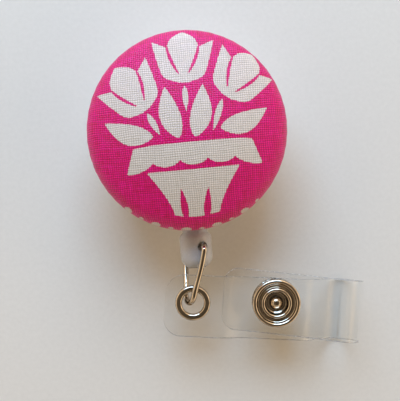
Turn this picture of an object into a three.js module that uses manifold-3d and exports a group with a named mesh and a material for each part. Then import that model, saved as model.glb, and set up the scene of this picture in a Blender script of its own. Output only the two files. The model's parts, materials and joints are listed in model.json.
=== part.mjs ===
// A retractable badge reel, in millimetres, +Z up.
// The reel's axis is Z, the cord leaves the case along -Y, and the clip's tongue lies on Z = 0.
// A cloth-covered button sits on the case, and a clear strap with a press snap hangs on the cord.
import * as THREE from 'three';
import { mergeVertices } from 'three/addons/utils/BufferGeometryUtils.js';
import Module from 'manifold-3d';

const wasm = await Module();
wasm.setup();

const GAP = 0.1; // between pieces that lie on each other
const SEAT = 0.04; // between thin pieces that are pressed on each other
const FIT = 0.05; // between a pin or barrel and its hole
const CORD_Z = 8; // height of the cord and of the bell's axis
const radians = THREE.MathUtils.degToRad;

// ---- Driving dimensions ----

const clip = { thick: 0.8, width: 12, beltGap: 2.2, fold: 13, baseEnd: 8, tongueEnd: 13.4 };
clip.pinch = 1.5; // how far the tongue rises to grip the belt
clip.pinchLength = 3.2; // from flat to the top of the pinch, and again down to the flared end
clip.flare = 0.1; // how far the tongue's end stays off the ground
clip.foldMiddle = clip.thick + clip.beltGap / 2;
clip.baseLow = clip.thick + clip.beltGap;
clip.baseTop = clip.baseLow + clip.thick;

const housing = { radius: 16, wall: 1.15, floor: 1.2, lid: 1, split: CORD_Z, round: 1.2 };
housing.lip = 0.5; // thickness of the lid's lip, which goes down inside the cup
housing.lipDepth = 1.1;
housing.low = clip.baseTop + GAP;
housing.high = housing.low + 8;
housing.lidLow = housing.high - housing.lid;

const nose = { radius: 2.4, end: 17.6, bore: 0.7, mouth: 3, mouthDepth: 1.4 };
nose.window = { half: 1, side: 4.2, inner: 12, deep: 2 }; // room for the cord in the lid's lip

const cord = { radius: 0.375, acrossPitch: 0.95, layerPitch: 0.86, layers: 5, layerTurns: 2.5, first: 9.3 };
cord.last = cord.first + cord.layers * cord.layerPitch;
cord.bend = housing.radius - 0.4; // where the cord turns into the nose
cord.bendLength = 1.2;

const spool = { bore: 1.6, hub: cord.first - cord.radius - 0.25, wall: 0.7, flange: 13.9, web: 0.8 };
spool.grooveHalf = cord.acrossPitch + cord.radius + GAP;
spool.low = CORD_Z - spool.grooveHalf - spool.web;
spool.high = CORD_Z + spool.grooveHalf + spool.web;

const rivet = { shank: 1.5, head: 3.2, headThick: 0.6, peen: 2.1, peenThick: 0.35 };
const washer = { radius: 2.9, thick: 0.4 };
washer.low = spool.high - 0.2 - washer.thick;
rivet.peenLow = washer.low + washer.thick + GAP / 2;

const spring = { thick: 0.2, height: 2.4, inner: 1.9, turns: 6, steps: 20 };
spring.outer = spool.hub - spool.wall - 0.3;
spring.low = CORD_Z - spring.height / 2;

const pad = { radius: 11, low: housing.high + GAP, thick: 0.7 };

const button = { radius: 19.05, cloth: 0.4, clothGap: 0.08, sheet: 0.45, dome: 48, shoulder: 3.2 };
button.rim = 0.7;
button.shell = button.radius - button.cloth - button.clothGap;
button.bottom = pad.low + pad.thick + 0.35; // underside of the shell's turned-in rim
button.top = button.bottom + 7;
button.lip = 17.3; // inner radius of the turned-in rim
button.tuck = 13.9; // height that the cloth's edge is tucked up to

const back = { radius: 16.6, low: pad.low + pad.thick + GAP, thick: 0.5, step: 14.5, rise: 0.5 };

const bell = { radius: 3.17, neck: 2.3, start: nose.end + 0.15, full: 20.6, end: 26.5, endRound: 2.2 };
bell.cavity = 1.9;
bell.cavityStart = 20.2;
bell.mouth = 1.35;
bell.pivot = 22.4; // distance of the bail's pivot from the reel's axis
bell.hole = 1.05;
bell.bore = 0.55;

const knot = { radius: 1.25, centre: 21.6 };

// The bail lies in a plane of its own: `turn` tips the pivot up from X, `swing` turns the bail on it.
const bail = { wire: 0.575, turn: 64, swing: -12.3, legs: 3.9, pinEnd: 1.7, corner: 0.7, bend: 1.9 };
bail.length = 11; // from the pivot to the middle of the U-bend

const strap = { thick: 0.5, width: 12.1, corner: 2.8, skew: 1.75, heading: -8.75 };
const eyelet = { x: -1.4, y: -33.2, z: 9, across: 0.61, hole: 2.1, barrel: 0.3, flange: 3.45 };
eyelet.high = 0.42;
eyelet.washer = 0.3;
eyelet.curl = 2.95;

const snap = { along: 16.2, lower: 6.6, upper: 9.2, flange: 4.55, ring: 4.7, inner: 3, recess: 2.25 };
snap.ball = 1.38;
snap.neck = 1.05;
snap.socketHole = 1.75;
snap.plate = 0.5;
snap.sheet = 0.22;
snap.roll = 0.4; // radius of the outer ring's rolled edge

// ---- Shapes ----

// Points of an arc, as [across, up] pairs, with the angles in degrees from `across`.
function arc(across, up, radius, from, to, steps = 4) {
  return Array.from({ length: steps + 1 }, (_, i) => {
    const angle = radians(from + ((to - from) * i) / steps);
    return [across + radius * Math.cos(angle), up + radius * Math.sin(angle)];
  });
}

// A ring's closed outline, with its outer corners rounded.
function ringOutline(inner, outer, low, high, round, steps = 3) {
  return [
    [inner, low],
    ...arc(outer - round, low + round, round, -90, 0, steps),
    ...arc(outer - round, high - round, round, 0, 90, steps),
    [inner, high],
    [inner, low],
  ];
}

// Welds a geometry's positions, drops collapsed triangles and turns its faces outward.
function closed(geometry) {
  const bare = new THREE.BufferGeometry();
  bare.setAttribute('position', geometry.getAttribute('position'));
  if (geometry.index) bare.setIndex(geometry.index);
  const welded = mergeVertices(bare, 1e-5);
  const at = (i) => new THREE.Vector3().fromBufferAttribute(welded.attributes.position, i);
  const faces = [];
  let volume = 0;
  for (let i = 0; i < welded.index.count; i += 3) {
    const [a, b, c] = [0, 1, 2].map((k) => welded.index.getX(i + k));
    if (a === b || b === c || c === a) continue;
    faces.push([a, b, c]);
    volume += at(a).dot(at(b).cross(at(c)));
  }
  welded.setIndex(faces.flatMap((face) => (volume < 0 ? face.reverse() : face)));
  return welded;
}

// Turns an outline of [radius, height] points about Z.
function turned(outline, segments = 32) {
  const points = outline.map(([radius, height]) => new THREE.Vector2(radius, height));
  return closed(new THREE.LatheGeometry(points, segments).rotateX(Math.PI / 2));
}

// Turns an outline of [radius, distance] points about the cord's line, with the distance along -Y.
function turnedOnCord(outline, segments = 32) {
  return turned(outline, segments).rotateX(Math.PI / 2).translate(0, 0, CORD_Z);
}

function box(low, high) {
  const size = high.map((value, i) => value - low[i]);
  const middle = high.map((value, i) => (value + low[i]) / 2);
  return closed(new THREE.BoxGeometry(...size).translate(...middle));
}

function cylinder(radius, low, high, segments = 32) {
  return turned([[0, low], [radius, low], [radius, high], [0, high]], segments);
}

const shapeOf = (points) => new THREE.Shape(points.map((point) => new THREE.Vector2(...point)));

// Pushes a shape straight up by `depth`.
const extruded = (shape, depth) => new THREE.ExtrudeGeometry(shape, { depth, bevelEnabled: false });

// A round bar along a curve, closed at both ends.
function bar(curve, radius, steps, sides) {
  const section = shapeOf(arc(0, 0, radius, 0, 360, sides).slice(1));
  const options = { steps, bevelEnabled: false, extrudePath: curve };
  return closed(new THREE.ExtrudeGeometry(section, options));
}

function manifold(geometry) {
  return new wasm.Manifold(
    new wasm.Mesh({
      numProp: 3,
      vertProperties: new Float32Array(geometry.getAttribute('position').array),
      triVerts: new Uint32Array(geometry.index.array),
    }),
  );
}

function geometryOf(body) {
  const mesh = body.getMesh();
  const geometry = new THREE.BufferGeometry();
  geometry.setAttribute('position', new THREE.BufferAttribute(new Float32Array(mesh.vertProperties), 3));
  geometry.setIndex(Array.from(mesh.triVerts));
  return geometry;
}

const cut = (geometry, ...tools) =>
  geometryOf(tools.reduce((body, tool) => body.subtract(manifold(tool)), manifold(geometry)));

const join = (geometry, ...others) =>
  geometryOf(others.reduce((body, other) => body.add(manifold(other)), manifold(geometry)));

// A path in a plane of its own, placed in space: `along` and `across` are the plane's two directions.
class PlanarCurve extends THREE.Curve {
  constructor(path, origin, along, across) {
    super();
    Object.assign(this, { path, origin, along, across });
  }

  getPoint(t) {
    const { x, y } = this.path.getPoint(t);
    return this.origin.clone().addScaledVector(this.along, x).addScaledVector(this.across, y);
  }
}

// A strip bent along a side profile, whose fold lines run across it and may be skewed a little.
// `halfWidth` gives half the strip's width at a distance along the profile.
function bentStrip({ profile, from, to, steps, thick, halfWidth, origin, along, across, skew = 0 }) {
  const up = new THREE.Vector3(0, 0, 1);
  const length = profile.getLength();
  const positions = [];
  for (let i = 0; i <= steps; i += 1) {
    const distance = from + ((to - from) * i) / steps;
    const point = profile.getPointAt(distance / length);
    const tangent = profile.getTangentAt(distance / length);
    for (const [side, face] of [[-1, -1], [1, -1], [1, 1], [-1, 1]]) {
      const sideways = distance * Math.tan(skew) + (side * halfWidth(distance)) / Math.cos(skew);
      const vertex = origin
        .clone()
        .addScaledVector(along, point.x - (face * thick * tangent.y) / 2)
        .addScaledVector(up, point.y + (face * thick * tangent.x) / 2)
        .addScaledVector(across, sideways);
      positions.push(...vertex.toArray());
    }
  }
  const faces = [0, 1, 2, 0, 2, 3];
  const last = steps * 4;
  faces.push(last, last + 2, last + 1, last, last + 3, last + 2);
  for (let i = 0; i < last; i += 4) {
    for (let k = 0; k < 4; k += 1) {
      const [a, b] = [i + k, i + ((k + 1) % 4)];
      faces.push(a, a + 4, b + 4, a, b + 4, b);
    }
  }
  const geometry = new THREE.BufferGeometry();
  geometry.setAttribute('position', new THREE.Float32BufferAttribute(positions, 3));
  geometry.setIndex(faces);
  return closed(geometry);
}

// Half the width of a strip that is `ends` long and has rounded corners at either or both ends.
const rounded = (width, corner, start, end) => (distance) => {
  const short = Math.max(0, corner - Math.min(distance - start, end - distance));
  return width / 2 - corner + Math.sqrt(Math.max(0, corner ** 2 - short ** 2));
};

// ---- Button ----

// The shell's outside from the axis out and down round the rim, moved outward by `offset`.
function domeOutline(offset) {
  const { shell, dome, shoulder, rim, top, bottom } = button;
  const tilt = THREE.MathUtils.radToDeg(Math.asin((shell - shoulder) / (dome - shoulder)));
  const shoulderUp = top - dome + (dome - shoulder) * Math.cos(radians(tilt));
  return [
    ...arc(0, top - dome, dome + offset, 90, 90 - tilt, 3),
    ...arc(shell - shoulder, shoulderUp, shoulder + offset, 90 - tilt, 0, 3),
    ...arc(shell - rim, bottom + rim, rim + offset, 0, -90, 2),
  ].map(([radius, height], i) => [i ? radius : 0, height]);
}

function fabricCover() {
  const { cloth, clothGap, lip, tuck } = button;
  const outside = domeOutline(clothGap + cloth);
  const inside = domeOutline(clothGap).reverse();
  const edge = lip - clothGap;
  const low = button.bottom - clothGap;
  const tucked = [[edge - cloth, low - cloth], [edge - cloth, tuck], [edge, tuck], [edge, low]];
  return turned([...outside, ...tucked, ...inside], 36);
}

function buttonShell() {
  const { sheet, lip, bottom } = button;
  const inside = domeOutline(-sheet).reverse();
  return turned([...domeOutline(0), [lip, bottom], [lip, bottom + sheet], ...inside], 36);
}

// A flat steel disc with a raised middle, pressed into the shell's rim over the cloth's edge.
function buttonBack() {
  const { radius, low, thick, step, rise } = back;
  const steps = [[0, low], [step, low], [step + rise, low + rise], [radius, low + rise]];
  const upper = steps.map(([r, z]) => [r, z + thick]).reverse();
  return turned([...steps, ...upper], 32);
}

const adhesivePad = () => cylinder(pad.radius, pad.low, pad.low + pad.thick);

// ---- Case ----

const wallInside = housing.radius - housing.wall;

// Half of the round nose that guides the cord: `half` is 1 above the split and -1 below it.
function noseHalf(half, split) {
  const outline = shapeOf(arc(0, 0, nose.radius, 0, half * 180, 8));
  const start = housing.radius - housing.wall / 2;
  return closed(extruded(outline, nose.end - start).rotateX(Math.PI / 2).translate(0, -start, split));
}

// The cord's bore through the nose, flared where the cord comes in from the spool.
function cordBore() {
  const { bore, mouth, mouthDepth } = nose;
  const start = wallInside - 1;
  const end = nose.end + 1;
  const narrow = wallInside + mouthDepth;
  return turnedOnCord([[0, start], [mouth, start], [bore, narrow], [bore, end], [0, end]], 20);
}

// Room for the cord as it comes off the spool, in the lid's wall and lip.
function cordWindow() {
  const { half, side, inner, deep } = nose.window;
  return box([-half, -wallInside, housing.split - deep], [side, -inner, CORD_Z + half]);
}

function backCase() {
  const { radius, low, floor, split, round } = housing;
  const hole = rivet.shank + FIT;
  const top = split - GAP;
  const cup = turned([
    [hole, low],
    ...arc(radius - round, low + round, round, -90, 0),
    [radius, top],
    [wallInside, top],
    [wallInside, low + floor],
    [hole, low + floor],
    [hole, low],
  ], 40);
  return cut(join(cup, noseHalf(-1, top)), cordBore());
}

function frontCase() {
  const { radius, high, lidLow, split, round, lip, lipDepth } = housing;
  const lipOutside = wallInside - GAP;
  const lid = turned([
    [0, lidLow],
    [lipOutside - lip, lidLow],
    [lipOutside - lip, split - lipDepth],
    [lipOutside, split - lipDepth],
    [lipOutside, split],
    [radius, split],
    ...arc(radius - round, high - round, round, 0, 90),
    [0, high],
  ], 40);
  return cut(join(lid, noseHalf(1, split)), cordBore(), cordWindow());
}

// Holds the clip on the case and carries the spool, with its peened end over the washer.
function centreRivet() {
  const { shank, head, headThick, peen, peenLow, peenThick } = rivet;
  const headTop = clip.baseLow - GAP / 2;
  return turned([
    [0, headTop - headThick],
    ...arc(head - 0.3, headTop - headThick + 0.3, 0.3, -90, 0, 2),
    [head, headTop],
    [shank, headTop],
    [shank, peenLow],
    [peen, peenLow],
    [peen, peenLow + peenThick / 2],
    [shank, peenLow + peenThick],
    [0, peenLow + peenThick],
  ], 24);
}

const spoolWasher = () =>
  turned(ringOutline(rivet.shank + FIT, washer.radius, washer.low, washer.low + washer.thick, 0.1, 1), 24);

// A flat spring wound from the rivet out to the spool's hub.
function spiralSpring() {
  const { thick, height, inner, outer, turns, steps, low } = spring;
  const count = turns * steps;
  const edge = (offset) =>
    Array.from({ length: count + 1 }, (_, i) => {
      const radius = inner + ((outer - inner) * i) / count + offset;
      const angle = (i / steps) * 2 * Math.PI;
      return new THREE.Vector2(radius * Math.cos(angle), radius * Math.sin(angle));
    });
  const outline = new THREE.Shape([...edge(0), ...edge(-thick).reverse()]);
  return closed(extruded(outline, height).translate(0, 0, low));
}

// ---- Clip ----

// A side profile is drawn along -Y from the clip's fold, with the strip's middle as the line.
function clipStrip(profile, from, to, steps, corner) {
  const end = profile.getLength();
  return bentStrip({
    profile,
    from,
    to: end + to,
    steps,
    thick: clip.thick,
    halfWidth: rounded(clip.width, corner, -corner, end),
    origin: new THREE.Vector3(),
    along: new THREE.Vector3(0, -1, 0),
    across: new THREE.Vector3(1, 0, 0),
  });
}

function clipBase() {
  const { fold, foldMiddle } = clip;
  const middle = clip.baseLow + clip.thick / 2;
  const profile = new THREE.Path();
  profile.absarc(-fold, foldMiddle, middle - foldMiddle, Math.PI, Math.PI / 2, true);
  profile.lineTo(clip.baseEnd, middle);
  const strip = clipStrip(profile, GAP / 2, 0, 40, 3);
  return cut(strip, cylinder(rivet.shank + FIT, clip.baseLow - 1, clip.baseTop + 1, 24));
}

// The springy side: flat on Z = 0, pinched up to grip the belt and flared back down at its end.
function clipTongue() {
  const { thick, fold, foldMiddle, tongueEnd, pinch, pinchLength, flare } = clip;
  const low = thick / 2;
  const high = low + pinch;
  const start = tongueEnd - 2 * pinchLength;
  const top = tongueEnd - pinchLength;
  const lead = 0.43 * pinchLength;
  const profile = new THREE.Path();
  profile.absarc(-fold, foldMiddle, foldMiddle - low, Math.PI, -Math.PI / 2, false);
  profile.lineTo(start, low);
  profile.bezierCurveTo(start + lead, low, top - lead, high, top, high);
  profile.bezierCurveTo(top + lead, high, tongueEnd - lead, low + flare, tongueEnd, low + flare);
  return clipStrip(profile, GAP / 2, 0, 44, 4);
}

// ---- Spool and cord ----

function spoolBody() {
  const { bore, hub, wall, flange, web, grooveHalf, low, high } = spool;
  return turned([
    [bore, low],
    [flange, low],
    [flange, low + web],
    [hub, low + web],
    [hub, CORD_Z + grooveHalf],
    [flange, CORD_Z + grooveHalf],
    [flange, high],
    [hub - wall, high],
    [hub - wall, low + web],
    [bore, low + web],
    [bore, low],
  ], 40);
}

// The point where the cord leaves the coil for the nose.
const leaving = Math.acos(cord.last / cord.bend);
const coilEnd = new THREE.Vector2(cord.last * Math.sin(leaving), -cord.last * Math.cos(leaving));

// The wound cord: each layer crosses the groove in two turns, then climbs to the next in half a turn.
class Winding extends THREE.Curve {
  getUtoTmapping(u) {
    return u;
  }

  getPoint(t) {
    const { layers, layerTurns, layerPitch, acrossPitch, first } = cord;
    const turns = t * layers * layerTurns;
    const layer = Math.min(Math.floor(turns / layerTurns), layers - 1);
    const within = turns - layer * layerTurns;
    const crossing = layerTurns - 0.5;
    const climb = Math.max(0, within - crossing) / (layerTurns - crossing);
    const side = layer % 2 ? -1 : 1;
    const across = side * acrossPitch * (Math.min(within, crossing) - crossing / 2);
    const angle = Math.atan2(coilEnd.y, coilEnd.x) + 2 * Math.PI * (layers * layerTurns - turns);
    const radius = first + (layer + climb) * layerPitch;
    return new THREE.Vector3(radius * Math.cos(angle), radius * Math.sin(angle), CORD_Z + across);
  }
}

const cordCoil = () => bar(new Winding(), cord.radius, cord.layers * cord.layerTurns * 16, 5);

// From the coil's end to the nose, round its mouth, and out to the knot in the bell.
function cordRun() {
  const start = new THREE.Vector3(coilEnd.x, coilEnd.y, CORD_Z + cord.acrossPitch);
  const turn = new THREE.Vector3(0, -cord.bend, CORD_Z);
  const lead = start.distanceTo(turn);
  const first = start.clone().lerp(turn, (cord.radius + GAP) / lead);
  const curveStart = start.clone().lerp(turn, 1 - cord.bendLength / lead);
  const curveEnd = new THREE.Vector3(0, -cord.bend - cord.bendLength, CORD_Z);
  const end = new THREE.Vector3(0, -(knot.centre - knot.radius - GAP), CORD_Z);
  const path = new THREE.CurvePath();
  path.add(new THREE.LineCurve3(first, curveStart));
  path.add(new THREE.QuadraticBezierCurve3(curveStart, turn, curveEnd));
  path.add(new THREE.LineCurve3(curveEnd, end));
  return bar(path, cord.radius, 24, 8);
}

function cordKnot() {
  const steps = 8;
  const outline = arc(0, knot.centre, knot.radius, -90, 90, steps);
  outline[0][0] = 0;
  outline[steps][0] = 0;
  return turnedOnCord(outline, 16);
}

// ---- Bell and bail ----

const pivotAxis = new THREE.Vector3(Math.cos(radians(bail.turn)), 0, Math.sin(radians(bail.turn)));
const pivot = new THREE.Vector3(0, -bell.pivot, CORD_Z);

// The moulded end piece: a hollow cap over the knot, with a hole for the bail on each side.
function bellShell() {
  const { radius, neck, start, full, end, endRound, cavity, cavityStart, mouth, bore, hole } = bell;
  const shell = turnedOnCord([
    [bore, start],
    ...arc(neck - 0.3, start + 0.3, 0.3, -90, 0, 2),
    [neck, full - 1.6],
    ...arc(radius - 1.2, full, 1.2, -50, 0, 2),
    ...arc(radius - endRound, end - endRound, endRound, 0, 80, 4),
    [mouth, end],
    [cavity, end - 1.2],
    [cavity, cavityStart + 0.9],
    [bore, cavityStart],
    [bore, start],
  ], 28);
  const across = cylinder(hole, -radius - 1, radius + 1, 20);
  across.applyQuaternion(new THREE.Quaternion().setFromUnitVectors(new THREE.Vector3(0, 0, 1), pivotAxis));
  return cut(shell, across.translate(...pivot.toArray()));
}

// A wire stirrup with its two ends turned in through the bell's holes.
function wireBail() {
  const { wire, swing, legs, pinEnd, corner, bend, length } = bail;
  const bendAt = length - bend;
  const path = new THREE.Path();
  path.moveTo(0, pinEnd);
  path.lineTo(0, legs - corner);
  path.absarc(corner, legs - corner, corner, Math.PI, Math.PI / 2, true);
  path.bezierCurveTo(0.38 * length, legs, 0.66 * length, bend + 0.35, bendAt, bend);
  path.absarc(bendAt, 0, bend, Math.PI / 2, -Math.PI / 2, true);
  path.bezierCurveTo(0.66 * length, -bend - 0.35, 0.38 * length, -legs, corner, -legs);
  path.absarc(corner, corner - legs, corner, -Math.PI / 2, -Math.PI, true);
  path.lineTo(0, -pinEnd);
  const along = new THREE.Vector3(0, -1, 0).applyAxisAngle(pivotAxis, radians(swing));
  return bar(new PlanarCurve(path, pivot, along, pivotAxis), wire, 54, 8);
}

// ---- Strap ----

const heading = radians(strap.heading);
const skew = radians(strap.skew);
const strapAlong = new THREE.Vector3(Math.cos(heading), Math.sin(heading), 0);
const strapAcross = new THREE.Vector3(-Math.sin(heading), Math.cos(heading), 0);

// The strap's side profile through its middle, with x measured from the eyelet: out along the
// lower layer, round the fat fold that holds the badge, and back along the upper layer.
const strapStart = -5.4;
const strapEnd = 5.8;
// Where the layers lie flat, by distance from the eyelet.
const level = { eyelet: 4.4, start: 11.6, end: 20.8 };
const fold = { out: 32.95, level: 5.5, low: 0.35, high: 10.65, lowAt: 28.2, highAt: 28.6 };
const strapProfile = new THREE.Path();
strapProfile.moveTo(strapStart, eyelet.z);
strapProfile.lineTo(level.eyelet, eyelet.z);
strapProfile.bezierCurveTo(7.6, eyelet.z, 8.6, snap.lower, level.start, snap.lower);
strapProfile.lineTo(level.end, snap.lower);
strapProfile.bezierCurveTo(24, snap.lower, 24.2, fold.low, fold.lowAt, fold.low);
strapProfile.bezierCurveTo(31.4, fold.low, fold.out, 2.6, fold.out, fold.level);
const foldAt = strapProfile.getLength();
strapProfile.bezierCurveTo(fold.out, 8.4, 31.4, fold.high, fold.highAt, fold.high);
strapProfile.bezierCurveTo(25.6, fold.high, 24, snap.upper, level.end, snap.upper);
strapProfile.lineTo(level.start, snap.upper);
strapProfile.bezierCurveTo(9.4, snap.upper, 7.8, snap.upper + 0.3, strapEnd, snap.upper + 0.6);
strapProfile.arcLengthDivisions = 800;
strapProfile.updateArcLengths();
const strapLength = strapProfile.getLength();

// The eyelet is set a little off the strap's middle line, towards the bell.
const eyeletSideways = -strapStart * Math.tan(skew) + eyelet.across;
const strapOrigin = new THREE.Vector3(eyelet.x, eyelet.y, 0).addScaledVector(strapAcross, -eyeletSideways);

// The snap is in the middle of the upper layer.
const snapDistance = strapLength - (snap.along - strapEnd);
const snapAt = strapOrigin
  .clone()
  .addScaledVector(strapAlong, snap.along)
  .addScaledVector(strapAcross, snapDistance * Math.tan(skew));

function strapPiece(from, to, steps) {
  return bentStrip({
    profile: strapProfile,
    from,
    to,
    steps,
    thick: strap.thick,
    halfWidth: rounded(strap.width, strap.corner, 0, strapLength),
    origin: strapOrigin,
    along: strapAlong,
    across: strapAcross,
    skew,
  });
}

const atEyelet = (geometry) => geometry.translate(eyelet.x, eyelet.y, 0);
const atSnap = (geometry) => geometry.translate(snapAt.x, snapAt.y, 0);

function strapLower() {
  const { hole, barrel, z } = eyelet;
  const { neck, lower } = snap;
  const eyeletHole = atEyelet(cylinder(hole + barrel + FIT, z - strap.thick, z + strap.thick, 28));
  const studHole = atSnap(cylinder(neck + FIT, lower - strap.thick, lower + strap.thick, 20));
  return cut(strapPiece(0, foldAt - GAP / 2, 60), eyeletHole, studHole);
}

function strapUpper() {
  const { inner, upper } = snap;
  const socketHole = atSnap(cylinder(inner + FIT, upper - strap.thick, upper + strap.thick, 28));
  return cut(strapPiece(foldAt + GAP / 2, strapLength, 50), socketHole);
}

// The eyelet's flange and barrel, curled over under the washer.
function eyeletBody() {
  const { hole, barrel, flange, high, z, curl } = eyelet;
  const top = z + strap.thick / 2 + SEAT;
  const low = z - strap.thick / 2 - eyelet.washer - 2 * SEAT;
  const round = high / 2;
  return atEyelet(turned([
    [hole, low],
    ...arc(hole + round, top + high - round, round, 180, 90, 3),
    ...arc(flange - round, top + high - round, round, 90, -60, 3),
    [flange - high, top],
    [hole + barrel, top],
    [hole + barrel, low],
    [curl, low],
    [curl, low - 0.2],
    [hole + 0.3, low - 0.3],
    [hole, low],
  ], 28));
}

function eyeletWasher() {
  const { hole, barrel, flange, washer: thick, z } = eyelet;
  const top = z - strap.thick / 2 - SEAT;
  return atEyelet(turned(ringOutline(hole + barrel + FIT, flange, top - thick, top, 0.1, 1), 24));
}

// The stud's plate lies on the lower layer, and its ball stands up in the socket.
function snapStud() {
  const { flange, ball, neck, plate, lower, upper } = snap;
  const low = lower + strap.thick / 2 + SEAT;
  const ballUp = upper - 0.9;
  const under = -Math.acos(neck / ball) * THREE.MathUtils.RAD2DEG;
  return atSnap(turned([
    [0, low - strap.thick - 0.75],
    [neck, low - strap.thick - 0.75],
    [neck, low],
    ...arc(flange - 0.25, low + 0.25, 0.25, -90, 90, 3),
    [neck, low + plate],
    ...arc(0, ballUp, ball, under, 90, 6).map(([r, z], i) => [i < 6 ? r : 0, z]),
  ], 24));
}

function studRing() {
  const { neck, ring, lower } = snap;
  const top = lower - strap.thick / 2 - SEAT;
  return atSnap(turned(ringOutline(neck + FIT, ring, top - 0.6, top, 0.25, 2), 24));
}

// The socket lies under the upper layer, and its collar comes up through the strap.
function snapSocket() {
  const { flange, inner, recess, socketHole, upper, plate } = snap;
  const top = upper - strap.thick / 2 - SEAT;
  const collarTop = upper + strap.thick / 2 + 0.5;
  return atSnap(turned([
    [socketHole, top - 0.9],
    [socketHole + 0.9, top - 0.9],
    ...arc(flange - 0.2, top - plate + 0.2, 0.2, -90, 90, 3),
    [inner, top],
    ...arc(inner - 0.37, collarTop, 0.37, 0, 180, 5),
    [recess, top - 0.1],
    [socketHole, top - 0.3],
    [socketHole, top - 0.9],
  ], 24));
}

function socketRing() {
  const { inner, ring, upper, sheet, roll } = snap;
  const hole = inner + FIT;
  const low = upper + strap.thick / 2 + SEAT;
  return atSnap(turned([
    [hole, low],
    [hole, low + sheet],
    [ring - 2.3 * roll, low + sheet],
    ...arc(ring - roll, low + roll, roll, 150, -90, 6),
    [hole, low],
  ], 28));
}

// ---- Assembly ----

const paint = (color, roughness, metalness = 0) => ({ color, roughness, metalness });
const looks = {
  cloth: paint(0xc81e6e, 0.9),
  nickel: paint(0xc9cbcc, 0.28, 1),
  steel: paint(0xa9acae, 0.35, 1),
  whitePlastic: paint(0xf1efe9, 0.45),
  bellPlastic: paint(0xe9e7e2, 0.3),
  foam: paint(0xf4f4f2, 0.95),
  clearVinyl: paint(0xdfe3e4, 0.18),
  nylonCord: paint(0xf2f0ea, 0.7),
  springSteel: paint(0x6f7275, 0.4, 1),
};

const pieces = [
  ['fabric_cover', fabricCover, 'cloth'],
  ['button_shell', buttonShell, 'steel'],
  ['button_back', buttonBack, 'steel'],
  ['adhesive_pad', adhesivePad, 'foam'],
  ['front_case', frontCase, 'whitePlastic'],
  ['back_case', backCase, 'whitePlastic'],
  ['centre_rivet', centreRivet, 'nickel'],
  ['spool_washer', spoolWasher, 'steel'],
  ['spiral_spring', spiralSpring, 'springSteel'],
  ['clip_base', clipBase, 'nickel'],
  ['clip_tongue', clipTongue, 'nickel'],
  ['spool', spoolBody, 'whitePlastic'],
  ['cord_coil', cordCoil, 'nylonCord'],
  ['cord_run', cordRun, 'nylonCord'],
  ['cord_knot', cordKnot, 'nylonCord'],
  ['bell_shell', bellShell, 'bellPlastic'],
  ['wire_bail', wireBail, 'nickel'],
  ['strap_lower', strapLower, 'clearVinyl'],
  ['strap_upper', strapUpper, 'clearVinyl'],
  ['eyelet', eyeletBody, 'nickel'],
  ['eyelet_washer', eyeletWasher, 'nickel'],
  ['snap_stud', snapStud, 'nickel'],
  ['stud_ring', studRing, 'nickel'],
  ['snap_socket', snapSocket, 'nickel'],
  ['socket_ring', socketRing, 'nickel'],
];

const reel = new THREE.Group();
for (const [name, make, look] of pieces) {
  const mesh = new THREE.Mesh(make(), new THREE.MeshStandardMaterial({ ...looks[look], name: look }));
  mesh.name = name;
  reel.add(mesh);
}

export default reel;
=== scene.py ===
"""Looks for the retractable badge reel: cloth-covered button, clear strap, snap, eyelet, bail and bell.

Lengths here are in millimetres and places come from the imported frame. `place` turns them into metres.
"""

import json
import math

import bmesh
import bpy
import numpy as np
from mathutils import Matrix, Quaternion, Vector


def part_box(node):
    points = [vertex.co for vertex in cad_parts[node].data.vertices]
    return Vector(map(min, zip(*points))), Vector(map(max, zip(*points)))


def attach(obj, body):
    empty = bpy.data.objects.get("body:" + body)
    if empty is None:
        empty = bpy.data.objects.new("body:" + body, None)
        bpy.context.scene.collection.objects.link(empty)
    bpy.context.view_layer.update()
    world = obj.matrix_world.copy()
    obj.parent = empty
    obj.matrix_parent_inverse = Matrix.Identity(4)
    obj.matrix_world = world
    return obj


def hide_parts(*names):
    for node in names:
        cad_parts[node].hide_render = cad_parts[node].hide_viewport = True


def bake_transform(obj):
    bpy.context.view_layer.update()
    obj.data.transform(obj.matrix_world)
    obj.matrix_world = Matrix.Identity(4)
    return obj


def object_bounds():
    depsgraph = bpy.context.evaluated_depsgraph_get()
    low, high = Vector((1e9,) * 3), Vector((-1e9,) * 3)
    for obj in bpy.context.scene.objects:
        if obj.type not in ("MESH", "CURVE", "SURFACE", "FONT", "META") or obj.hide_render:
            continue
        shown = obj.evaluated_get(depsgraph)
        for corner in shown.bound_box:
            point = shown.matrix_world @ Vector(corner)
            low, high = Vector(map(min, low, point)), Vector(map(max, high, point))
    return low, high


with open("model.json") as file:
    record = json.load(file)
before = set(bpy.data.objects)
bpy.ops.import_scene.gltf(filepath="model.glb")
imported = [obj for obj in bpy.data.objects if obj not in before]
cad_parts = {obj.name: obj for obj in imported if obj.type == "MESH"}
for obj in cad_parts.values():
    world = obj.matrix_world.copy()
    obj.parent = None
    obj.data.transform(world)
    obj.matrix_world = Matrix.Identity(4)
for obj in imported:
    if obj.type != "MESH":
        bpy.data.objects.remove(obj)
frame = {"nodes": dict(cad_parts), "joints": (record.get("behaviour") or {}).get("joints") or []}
cad_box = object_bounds()

MM = 0.001
STRAP_THICK = 0.5
LOWER_LAYER, UPPER_LAYER = 6.6, 9.2  # heights of the strap's two layers at the snap
SEAT = 0.04  # gap between the strap and the metal pressed on it

joints = {joint["name"]: joint for joint in frame["joints"]}
nodes = frame["nodes"]


def box_mm(node):
    """The lowest and highest corner of a CAD node, in millimetres."""
    return tuple(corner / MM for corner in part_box(node))


def middle_mm(node):
    low, high = box_mm(node)
    return (low + high) / 2


def joint_mm(name):
    """A joint's place, in millimetres."""
    return Vector(joints[name]["pos_m"]) / MM


def joint_axis(name):
    return Vector(joints[name]["axis"]).normalized()


# ---- Meshes ----


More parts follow.
